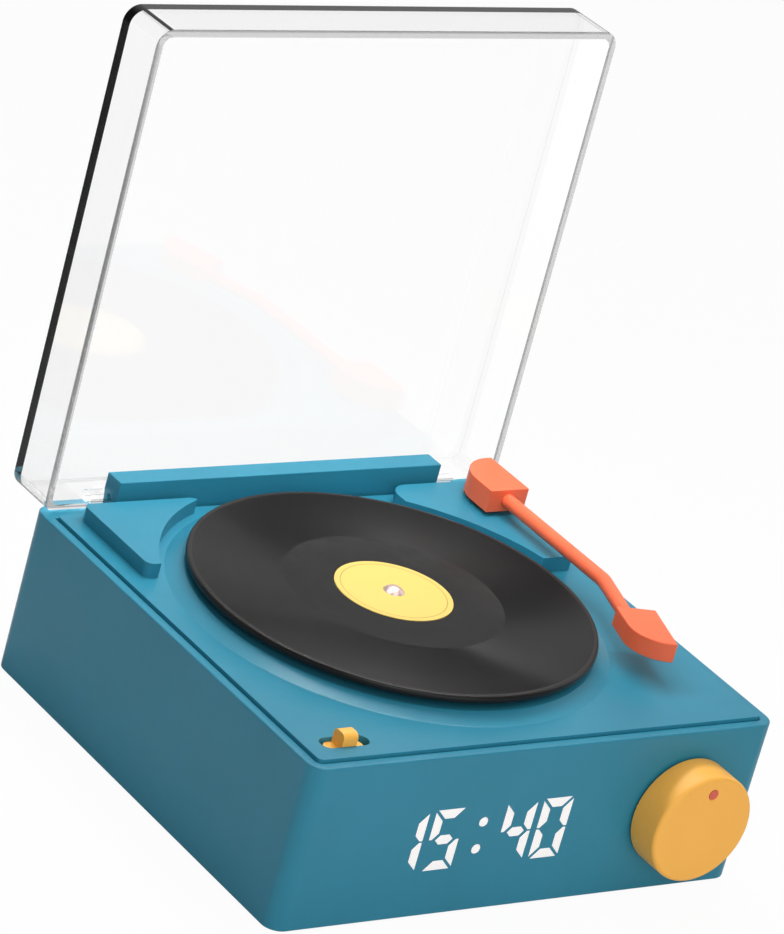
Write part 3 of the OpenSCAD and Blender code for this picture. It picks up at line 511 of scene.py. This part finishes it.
def record_profile(radius, thick):
    """The outline from the hole round the rim and back over the grooves, with a zone at each point."""
    grooved, smooth, rim = range(3)
    spindle_low, spindle_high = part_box("spindle")
    hole = (spindle_high.x - spindle_low.x) / 2 + LABEL_FIT * MM
    bead = RIM_ROUND * MM
    flat_edge = radius - bead
    groove_floor = thick - GROOVE_DROP * MM
    wax = DEAD_WAX_RADIUS * MM
    wax_floor = thick - DEAD_WAX_SHARE * GROOVE_DROP * MM
    label_edge = LABEL_RADIUS + LABEL_FIT * MM
    label_floor = thick - (LABEL_HIGH.z - LABEL_LOW.z - LABEL_FIT * MM)
    profile = [(hole, 0, smooth), (flat_edge, 0, smooth)]
    for turn in range(1, RIM_STEPS + 1):
        angle = math.pi * turn / RIM_STEPS - math.pi / 2
        profile.append((flat_edge + bead * math.cos(angle), thick / 2 * (1 + math.sin(angle)), rim))
    return profile + [
        (flat_edge - LEAD_IN_FROM * MM, thick, smooth),
        (flat_edge - LEAD_IN_TO * MM, groove_floor, grooved),
        (wax + DEAD_WAX_SLOPE * MM, groove_floor, smooth),
        (wax, wax_floor, smooth),
        (label_edge + LABEL_SLOPE * MM, wax_floor, smooth),
        (label_edge, label_floor, smooth),
        (hole, label_floor, smooth),
    ]


def make_record():
    """The record with its edge bead, sunk grooves, dead wax and the seat of its label."""
    low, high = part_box("record")
    middle = (low + high) / 2
    profile = record_profile((high.x - low.x) / 2, high.z - low.z)
    piece = lathe("record_disc", profile, RECORD_STEPS, (middle.x, middle.y, low.z))
    for finish in (FINISHES["vinyl"], smooth_vinyl(), edge_vinyl()):
        piece.data.materials.append(finish.material)
    crisp = piece.modifiers.new("edge_split", "EDGE_SPLIT")
    crisp.split_angle = math.radians(RECORD_CRISP_ANGLE)
    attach(piece, "turntable")
    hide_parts("record")


def toward_backdrop(tree, place, low, high, dim):
    """A number that rises from dim to 1 as place runs from low to high towards the backdrop."""
    along = tree.nodes.new("ShaderNodeVectorMath")
    along.operation = "DOT_PRODUCT"
    along.inputs[1].default_value = BACKDROP
    tree.links.new(place, along.inputs[0])
    rise = tree.nodes.new("ShaderNodeMapRange")
    rise.interpolation_type = "SMOOTHSTEP"
    rise.inputs["From Min"].default_value = low
    rise.inputs["From Max"].default_value = high
    rise.inputs["To Min"].default_value = dim
    rise.inputs["To Max"].default_value = 1.0
    tree.links.new(along.outputs["Value"], rise.inputs["Value"])
    return rise.outputs["Result"]


def show_instead(tree, lit, shown, share):
    """A mix of two shaders, with shown in place of lit by the given share."""
    mix = tree.nodes.new("ShaderNodeMixShader")
    tree.links.new(share, mix.inputs["Fac"])
    tree.links.new(lit.outputs[0], mix.inputs[1])
    tree.links.new(shown.outputs[0], mix.inputs[2])
    return mix.outputs["Shader"]


def make_floor():
    """Pale floor, white to sight lines and, behind the clock, to what is seen through the cover."""
    half = FLOOR_SIZE / 2
    corners = [(-half, -half, 0), (half, -half, 0), (half, half, 0), (-half, half, 0)]
    mesh = bpy.data.meshes.new("floor")
    mesh.from_pydata(corners, [], [(0, 1, 2, 3)])
    floor = add_object("floor", mesh)
    material = bpy.data.materials.new("pale_floor")
    material.use_nodes = True
    tree = material.node_tree
    tree.nodes.remove(tree.nodes["Principled BSDF"])
    lit = tree.nodes.new("ShaderNodeBsdfDiffuse")
    lit.inputs["Color"].default_value = (*FLOOR_COLOUR, 1)
    white = tree.nodes.new("ShaderNodeEmission")
    white.inputs["Strength"].default_value = 1.0
    white.inputs["Color"].default_value = (*WHITE, 1)
    path = tree.nodes.new("ShaderNodeLightPath")
    place = tree.nodes.new("ShaderNodeTexCoord").outputs["Object"]
    behind = toward_backdrop(tree, place, FLOOR_BACK_FROM, FLOOR_BACK_FULL, 0.0)
    through = calculate(tree, "MULTIPLY", path.outputs["Is Transmission Ray"], behind)
    direct = calculate(tree, "MULTIPLY", path.outputs["Is Camera Ray"], FLOOR_WHITE_SHARE)
    shown = show_instead(tree, lit, white, calculate(tree, "MAXIMUM", direct, through))
    tree.links.new(shown, tree.nodes["Material Output"].inputs["Surface"])
    mesh.materials.append(material)


def make_world():
    """Even fill light; sight lines, mirrors and glass see the white backdrop and the dimmer room instead."""
    world = bpy.data.worlds.new("studio")
    bpy.context.scene.world = world
    world.use_nodes = True
    tree = world.node_tree
    lit = tree.nodes["Background"]
    lit.inputs["Color"].default_value = (*WHITE, 1)
    lit.inputs["Strength"].default_value = WORLD_FILL
    room = tree.nodes.new("ShaderNodeBackground")
    room.inputs["Strength"].default_value = 1.0
    path = tree.nodes.new("ShaderNodeLightPath")
    sight, mirror, glass = (path.outputs[f"Is {kind} Ray"] for kind in ("Camera", "Glossy", "Transmission"))
    place = tree.nodes.new("ShaderNodeTexCoord").outputs["Generated"]
    tone = toward_backdrop(tree, place, BACKDROP_FROM, BACKDROP_FULL, ROOM_GREY)
    dimmer = calculate(tree, "MULTIPLY", mirror, 1.0 - MIRROR_LEVEL)
    tone = calculate(tree, "MULTIPLY", tone, calculate(tree, "SUBTRACT", 1.0, dimmer))
    tree.links.new(calculate(tree, "MAXIMUM", tone, sight), room.inputs["Color"])
    seen = calculate(tree, "MAXIMUM", sight, calculate(tree, "MAXIMUM", mirror, glass))
    tree.links.new(show_instead(tree, lit, room, seen), tree.nodes["World Output"].inputs["Surface"])


def make_lights():
    for name, (place, size, power, target) in LAMPS.items():
        light = bpy.data.lights.new(name, "AREA")
        light.shape = "RECTANGLE"
        light.size, light.size_y = size
        light.energy = power
        lamp = add_object(name, light)
        lamp.location = place
        lamp.rotation_euler = (Vector(place) - target).to_track_quat("Z", "Y").to_euler()
        lamp.visible_camera = False


def make_camera():
    azimuth, elevation, roll = (math.radians(a) for a in (CAMERA_AZIMUTH, CAMERA_ELEVATION, CAMERA_ROLL))
    back = Vector((math.sin(azimuth) * math.cos(elevation), -math.cos(azimuth) * math.cos(elevation),
                   math.sin(elevation)))
    right = (-back).cross(Vector((0, 0, 1))).normalized()
    up = right.cross(-back)
    across = math.cos(roll) * right + math.sin(roll) * up
    upright = math.cos(roll) * up - math.sin(roll) * right
    lens = bpy.data.cameras.new("camera")
    lens.lens = CAMERA_LENS
    lens.sensor_width = CAMERA_SENSOR
    lens.clip_start = CAMERA_NEAREST
    lens.clip_end = CAMERA_FARTHEST
    camera = add_object("camera", lens)
    turn = Matrix((across, upright, back)).transposed().to_4x4()
    place = AIM + CAMERA_DISTANCE * back + CAMERA_SLIDE_RIGHT * right + CAMERA_SLIDE_UP * up
    camera.matrix_world = Matrix.Translation(place) @ turn
    bpy.context.scene.camera = camera


bpy.context.scene.view_settings.view_transform = "Standard"
dress_nodes()
make_case()
make_record()
make_floor()
make_world()
make_lights()
make_camera()
